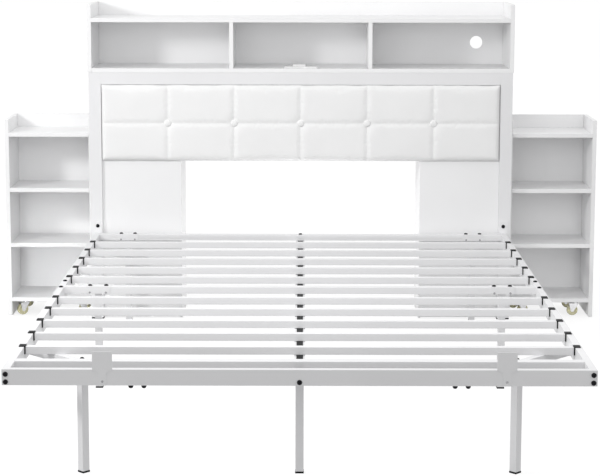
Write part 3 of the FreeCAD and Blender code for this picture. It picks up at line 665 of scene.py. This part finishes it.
class Cover:
    """The pad's cover as a grid over the CAD pad, with its seams, border and buttons."""

    def __init__(self, pad):
        self.pad = pad
        self.low, self.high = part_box("headboard_pad")
        self.back = self.high.y
        self.crown = self.high.y - self.low.y
        self.cell = ((self.high.x - self.low.x) / pad.columns, (self.high.z - self.low.z) / pad.rows)
        self.count = tuple(
            2 * round(side / (2 * pad.step)) * number
            for side, number in zip(self.cell, (pad.columns, pad.rows)))
        self.buttons = [corners(points) for points in solids_of("pad_buttons")]
        self.seat = self.back - max(high.y for low, high in self.buttons)
        self.button_radius = (self.buttons[0][1].x - self.buttons[0][0].x) / 2
        self.button_hold = self.button_radius * BUTTON_HOLD
        self.seam_lines = ([self.low.x + i * self.cell[0] for i in range(1, pad.columns)],
                           [self.low.z + i * self.cell[1] for i in range(1, pad.rows)])

    def seam_distances(self, x, z):
        """Distance to the nearest upright seam, level seam and border."""
        beside = min(abs(x - line) for line in self.seam_lines[0])
        above = min(abs(z - line) for line in self.seam_lines[1])
        border = min(x - self.low.x, self.high.x - x, z - self.low.z, self.high.z - z)
        return beside, above, border

    def height(self, x, z, crown):
        """How far the cover stands out from the back of the pad."""
        pad = self.pad
        beside, above, border = self.seam_distances(x, z)
        upright = pad.seam_depth * near(beside, pad.shoulder) ** SEAM_STEEPNESS
        level = pad.level_depth * near(above, pad.level_shoulder) ** SEAM_STEEPNESS
        roll = 1 - math.sqrt(1 - near(border, pad.border_roll) ** 2)
        slope = near(border, SLOPE_REACH * pad.border_roll) ** 2
        flat = max(self.button_distance(x, z)[0] - self.button_hold, 0)
        hollow = near(flat, pad.dimple) ** 2
        drop = max(upright, level) + slope * pad.border_slope
        drop += hollow * (crown - pad.seam_depth - self.seat)
        top = near(self.high.z - z, GATHER_REACH * pad.border_roll)
        border_height = pad.border_height + pad.top_fullness * self.gathers(x) * top
        return max(crown - drop, self.seat) - roll * (crown - drop - border_height)

    def gathers(self, x):
        """From 0 to 1 along the top border: how far the cover is drawn up there."""
        drawn = GATHER_MEAN + GATHER_SWING * noise.noise(Vector((x / GATHER_LENGTH, *GATHER_NOISE)))
        return min(max(drawn, 0), 1)

    def held(self, x, z):
        """True where the cover is sewn, stapled or buttoned down."""
        touch = self.pad.step / 4
        sewn = min(self.seam_distances(x, z)) < touch
        return sewn or self.button_distance(x, z)[0] < self.button_hold

    def button_distance(self, x, z):
        """Distance and direction from the nearest button, and where that button is."""
        middles = [(low + high) / 2 for low, high in self.buttons]
        return min((math.hypot(x - m.x, z - m.z), math.atan2(z - m.z, x - m.x), m.x) for m in middles)

    def points(self, crown):
        """Rows of points on the cover, from the bottom up."""
        across, up = self.count
        rows = []
        for j in range(up + 1):
            z = self.low.z + (self.high.z - self.low.z) * j / up
            row = []
            for i in range(across + 1):
                x = self.low.x + (self.high.x - self.low.x) * i / across
                lift = self.pad.top_lift * self.gathers(x) if j == up else 0
                row.append(Vector((x, self.back - self.height(x, z, crown), z + lift)))
            rows.append(row)
        return rows

    def fold(self, point):
        """Small folds along the seams and out from the buttons, as a height."""
        pad = self.pad
        beside, above = self.seam_distances(point.x, point.z)[:2]
        folds = 0.0
        for distance, along, row in ((beside, point.z, UPRIGHT_NOISE), (above, point.x, LEVEL_NOISE)):
            ripple = noise.noise(Vector((along / PUCKER_LENGTH, *row)))
            fade = math.exp(-distance / PUCKER_REACH)
            folds += pad.pucker * ripple * fade * min(distance / PUCKER_START, 1)
        reach, turn, which = self.button_distance(point.x, point.z)
        if reach > self.button_hold:
            spoke = Vector((CREASE_SPREAD * math.cos(turn) + CREASE_SHIFT * which,
                            CREASE_SPREAD * math.sin(turn), CREASE_NOISE))
            folds += pad.crease * noise.noise(spoke) * math.exp(-(reach - self.button_radius) / CREASE_REACH)
        return folds


def add_grid(mesh, rows):
    """A sheet of quads through rows of points."""
    grid = [[mesh.verts.new(point) for point in row] for row in rows]
    for below, above in zip(grid, grid[1:]):
        for i in range(len(below) - 1):
            mesh.faces.new((below[i], below[i + 1], above[i + 1], above[i]))
    return grid


def border_of(grid):
    """The points round a sheet, in order."""
    return [*grid[0], *[row[-1] for row in grid[1:]], *reversed(grid[-1][:-1]),
            *[row[0] for row in reversed(grid[1:-1])]]


def sheet_mesh(rows):
    """The front of the cover as a bmesh of its own, with its grid of points."""
    mesh = bmesh.new()
    return mesh, add_grid(mesh, rows)


def swell_cover(context, cover, rows):
    """Lets the cover swell under pressure between its seams and gives back its points."""
    pad, scene = cover.pad, context.scene
    mesh = sheet_mesh(rows)[0]
    data = bpy.data.meshes.new("cover_trial")
    mesh.to_mesh(data)
    mesh.free()
    trial = bpy.data.objects.new("cover_trial", data)
    scene.collection.objects.link(trial)
    pins = trial.vertex_groups.new(name="sewn")
    pins.add([v.index for v in data.vertices if cover.held(v.co.x, v.co.z)], 1.0, "REPLACE")
    cloth = trial.modifiers.new("cloth", "CLOTH")
    stuff = cloth.settings
    stuff.vertex_group_mass = pins.name
    stuff.use_pressure = True
    stuff.uniform_pressure_force = pad.pressure
    stuff.effector_weights.gravity = 0
    stuff.quality = 6
    stuff.mass = 0.3
    stuff.tension_stiffness = 25
    stuff.compression_stiffness = 25
    stuff.bending_stiffness = 1.5
    stuff.shrink_min = -0.01
    cloth.point_cache.frame_start = 1
    cloth.point_cache.frame_end = pad.frames
    for number in range(1, pad.frames + 1):
        scene.frame_set(number)
    shown = trial.evaluated_get(context.evaluated_depsgraph_get())
    swelled = [vertex.co.copy() for vertex in shown.data.vertices]
    scene.frame_set(1)
    bpy.data.objects.remove(trial)
    width = len(rows[0])
    result = []
    for j, row in enumerate(rows):
        new_row = []
        for i, start in enumerate(row):
            move = swelled[j * width + i] - start
            reach = max(move.length, NO_MOVE)
            new_row.append(start + move * (pad.swell * math.tanh(reach / pad.swell) / reach))
        result.append(new_row)
    return result


class BED_OT_tufted_pad(Operator):
    """Sews the tufted pad: a cover swelled by simulation between its seams and buttons"""
    bl_idname = "bed.tufted_pad"
    bl_label = "Tufted pad"

    def execute(self, context):
        pad = context.scene.bed_pad
        cover = Cover(pad)
        rows = cover.points(cover.crown - pad.swell)
        rows = swell_cover(context, cover, rows)
        for row in rows:
            for point in row:
                forward = cover.back - point.y + cover.fold(point)
                point.y = cover.back - min(max(forward, THINNEST), cover.crown + HIGHEST_FOLD)
        mesh, grid = sheet_mesh(rows)
        rear = cover.points(cover.crown)
        for row in rear:
            for point in row:
                point.y = cover.back
        join_rings(mesh, [border_of(grid), border_of(add_grid(mesh, rear))])
        white = leatherette(pad)
        piece = new_piece("tufted_pad", mesh, white, "bed")
        subdivide(piece, levels=1)
        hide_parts("headboard_pad")
        self.cover_buttons(cover, white)
        return {"FINISHED"}

    def cover_buttons(self, cover, material):
        """Domed buttons in the same cover, gathered at the rim."""
        domes = []
        for low, high in cover.buttons:
            radius, height = (high.x - low.x) / 2, high.y - low.y
            profile = [(radius * out, height * up) for out, up in BUTTON_PROFILE]
            dome = turned_solid(profile, segments=24, waves=12, depth=0.02)
            middle = (low + high) / 2
            dome.transform(Matrix.Translation((middle.x, high.y, middle.z)) @ facing((0, -1, 0)))
            domes.append(dome)
        piece = new_piece("covered_buttons", gather(domes), material, "bed")
        subdivide(piece, levels=2)
        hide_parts("pad_buttons")


# Steps of a wheel from its hub to the middle of its tread, as shares of its radius and half its width
WHEEL_PROFILE = ((0.22, 1.0), (0.36, 1.0), (0.40, 0.86), (0.44, 0.80), (0.76, 0.80), (0.82, 0.90),
                 (0.90, 0.93), (0.965, 0.80), (0.992, 0.48), (1.0, 0.0))


def wheel_mesh(node, joint, segments):
    """A rounded wheel with a raised hub where a CAD wheel turns on its axle."""
    axle = Vector(joint["axis"]).normalized()
    centre = Vector(joint["pos_m"])
    points = [vertex.co - centre for vertex in NODES[node].data.vertices]
    half = max(abs(point.dot(axle)) for point in points)
    radius = max((point - axle * point.dot(axle)).length for point in points)
    near_side = [(radius * out, -half * along) for out, along in WHEEL_PROFILE]
    far_side = [(out, -along) for out, along in reversed(near_side[:-1])]
    mesh = turned_solid(near_side + far_side, segments)
    mesh.transform(Matrix.Translation(centre) @ facing(axle))
    return mesh


class BED_OT_casters(Operator):
    """Finishes the plated forks and builds the clear wheels"""
    bl_idname = "bed.casters"
    bl_label = "Casters"

    def execute(self, context):
        caster = context.scene.bed_caster
        zinc = plated("zinc_plate", caster.steel_tint, roughness=0.30, streak=0.004)
        amber = clear_wheel(caster)
        for node in nodes_of("caster_steel"):
            dress(node, zinc, caster.edge)
        for side in SIDES:
            for corner in CORNERS:
                name = f"{side}_{corner}"
                mesh = wheel_mesh(f"{name}_wheel", JOINTS[f"{name}_roll"], caster.segments)
                piece = new_piece(f"{name}_clear_wheel", mesh, amber, f"{name}_roller")
                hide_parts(f"{name}_wheel")
        return {"FINISHED"}


# Studio

FLOOR_SIZE = 30
NICHE_RISE = 0.01
NICHE_SLIMNESS = 3
SENSOR_WIDTH = 36
VIEW_REACH = 100


def seen_directly(tree):
    """1 for camera, glossy and transmission rays, 0 for the light that falls on the bed."""
    rays = add(tree, "ShaderNodeLightPath").outputs
    clear = add(tree, "ShaderNodeMath", {"operation": "MAXIMUM"})
    tree.links.new(rays["Is Glossy Ray"], clear.inputs[0])
    tree.links.new(rays["Is Transmission Ray"], clear.inputs[1])
    seen = add(tree, "ShaderNodeMath", {"operation": "MAXIMUM"})
    tree.links.new(rays["Is Camera Ray"], seen.inputs[0])
    tree.links.new(clear.outputs[0], seen.inputs[1])
    return seen.outputs[0]


def mix_shaders(tree, factor, first, second):
    """The first shader where the factor is 0, the second where it is 1."""
    mixed = add(tree, "ShaderNodeMixShader", Fac=factor)
    tree.links.new(first, mixed.inputs[1])
    tree.links.new(second, mixed.inputs[2])
    return mixed.outputs[0]


class BED_OT_stage(Operator):
    """Sets up the white floor and surroundings, the lamps and the camera"""
    bl_idname = "bed.stage"
    bl_label = "Studio"

    def execute(self, context):
        stage = context.scene.bed_stage
        context.scene.view_settings.view_transform = "Standard"
        self.surroundings(context, stage)
        self.floor(context, stage)
        key = self.lamp(context, "key_lamp", stage.key_energy, stage.key_place, stage.key_target)
        key.shape = "DISK"
        key.size = stage.key_width
        soft = self.lamp(context, "soft_lamp", stage.soft_energy, stage.soft_place, stage.soft_target)
        soft.shape = "RECTANGLE"
        soft.size = stage.soft_width
        soft.size_y = stage.soft_height
        for energy, (side, mirror) in zip(stage.low_energy, SIDES.items()):
            ends = [Vector(end) * Vector((mirror, 1, 1)) for end in (stage.low_place, stage.low_target)]
            low = self.lamp(context, f"{side}_low_lamp", energy, *ends)
            low.size = stage.low_width
            low.spread = stage.low_spread
        self.niche_lamp(context, stage)
        self.camera(context, stage)
        return {"FINISHED"}

    def niche_lamp(self, context, stage):
        """A lamp on the floor between the inner walls, shining up."""
        low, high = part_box("left_inner_wall")
        middle = Vector((0, (low.y + high.y) / 2, NICHE_RISE))
        niche = self.lamp(context, "niche_lamp", stage.niche_energy, middle, middle + Vector((0, 0, 1)))
        niche.shape = "RECTANGLE"
        niche.size = stage.niche_width
        niche.size_y = stage.niche_width / NICHE_SLIMNESS

    def surroundings(self, context, stage):
        """White all round, a little weaker as light on the bed."""
        world = bpy.data.worlds.new("white_studio")
        world.use_nodes = True
        context.scene.world = world
        tree = world.node_tree
        lit = tree.nodes["Background"]
        wire(tree, lit, Color=WHITE, Strength=stage.fill_light)
        white = add(tree, "ShaderNodeBackground", Color=WHITE, Strength=1.0)
        shown = mix_shaders(tree, seen_directly(tree), lit.outputs[0], white.outputs[0])
        tree.links.new(shown, tree.nodes["World Output"].inputs["Surface"])

    def floor(self, context, stage):
        """A pale floor that looks white and keeps the shadow of the bed."""
        mesh = bmesh.new()
        bmesh.ops.create_grid(mesh, x_segments=1, y_segments=1, size=FLOOR_SIZE)
        data = bpy.data.meshes.new("floor")
        mesh.to_mesh(data)
        mesh.free()
        floor = bpy.data.objects.new("floor", data)
        context.scene.collection.objects.link(floor)
        material, tree, shader = new_material("white_floor")
        wire(tree, shader, Base_Color=grey(stage.floor_bounce), Roughness=0.9)
        glow = add(tree, "ShaderNodeEmission", Color=WHITE, Strength=stage.floor_glow)
        matt = add(tree, "ShaderNodeBsdfDiffuse", Color=grey(stage.floor_matt))
        both = add(tree, "ShaderNodeAddShader")
        tree.links.new(glow.outputs[0], both.inputs[0])
        tree.links.new(matt.outputs[0], both.inputs[1])
        shown = mix_shaders(tree, seen_directly(tree), shader.outputs[0], both.outputs[0])
        tree.links.new(shown, tree.nodes["Material Output"].inputs["Surface"])
        data.materials.append(material)

    def lamp(self, context, name, energy, place, target):
        """A lamp that the camera doesn't see. Gives back its light, to be sized."""
        light = bpy.data.lights.new(name, "AREA")
        light.energy = energy
        lamp = bpy.data.objects.new(name, light)
        lamp.location = place
        lamp.visible_camera = False
        lamp.rotation_euler = (Vector(target) - Vector(place)).to_track_quat("-Z", "Y").to_euler()
        context.scene.collection.objects.link(lamp)
        return light

    def camera(self, context, stage):
        """The camera at the photo's viewing angle."""
        data = bpy.data.cameras.new("camera")
        data.sensor_width = SENSOR_WIDTH
        data.lens = stage.camera_lens
        data.shift_y = stage.camera_shift
        data.clip_end = VIEW_REACH
        pitch, yaw, roll = stage.camera_pitch, stage.camera_yaw, stage.camera_roll
        forward = Vector((math.sin(yaw) * math.cos(pitch), math.cos(yaw) * math.cos(pitch), -math.sin(pitch)))
        right = Vector((math.cos(yaw), -math.sin(yaw), 0))
        up = right.cross(forward)
        across = right * math.cos(roll) + up * math.sin(roll)
        upward = up * math.cos(roll) - right * math.sin(roll)
        axes = Matrix((across, upward, -forward)).transposed().to_4x4()
        camera = bpy.data.objects.new("camera", data)
        camera.matrix_world = Matrix.Translation(stage.camera_place) @ axes
        context.scene.collection.objects.link(camera)
        context.scene.camera = camera


# Add-on

PIECES = (BED_OT_steel_frame, BED_OT_boards, BED_OT_fittings, BED_OT_bolts, BED_OT_tufted_pad, BED_OT_casters,
          BED_OT_stage)
SETTINGS = {"bed_steel": SteelSettings, "bed_board": BoardSettings, "bed_pad": PadSettings,
            "bed_fitting": FittingSettings, "bed_caster": CasterSettings, "bed_stage": StageSettings}


class BED_PT_pieces(Panel):
    """Lists the steps that dress the bed, and their settings"""
    bl_idname = "BED_PT_pieces"
    bl_label = "Bookcase bed"
    bl_space_type = "VIEW_3D"
    bl_region_type = "UI"
    bl_category = "Bed"

    def draw(self, context):
        for piece in PIECES:
            self.layout.operator(piece.bl_idname)
        for name, group in SETTINGS.items():
            box = self.layout.box()
            for prop in group.__annotations__:
                box.prop(getattr(context.scene, name), prop)


def register():
    for group in (*SETTINGS.values(), *PIECES, BED_PT_pieces):
        bpy.utils.register_class(group)
    for name, group in SETTINGS.items():
        setattr(bpy.types.Scene, name, PointerProperty(type=group))


def unregister():
    for name in SETTINGS:
        delattr(bpy.types.Scene, name)
    for group in reversed((*SETTINGS.values(), *PIECES, BED_PT_pieces)):
        bpy.utils.unregister_class(group)


def main():
    register()
    for piece in PIECES:
        group, name = piece.bl_idname.split(".")
        getattr(getattr(bpy.ops, group), name)()


if __name__ == "__main__":
    main()
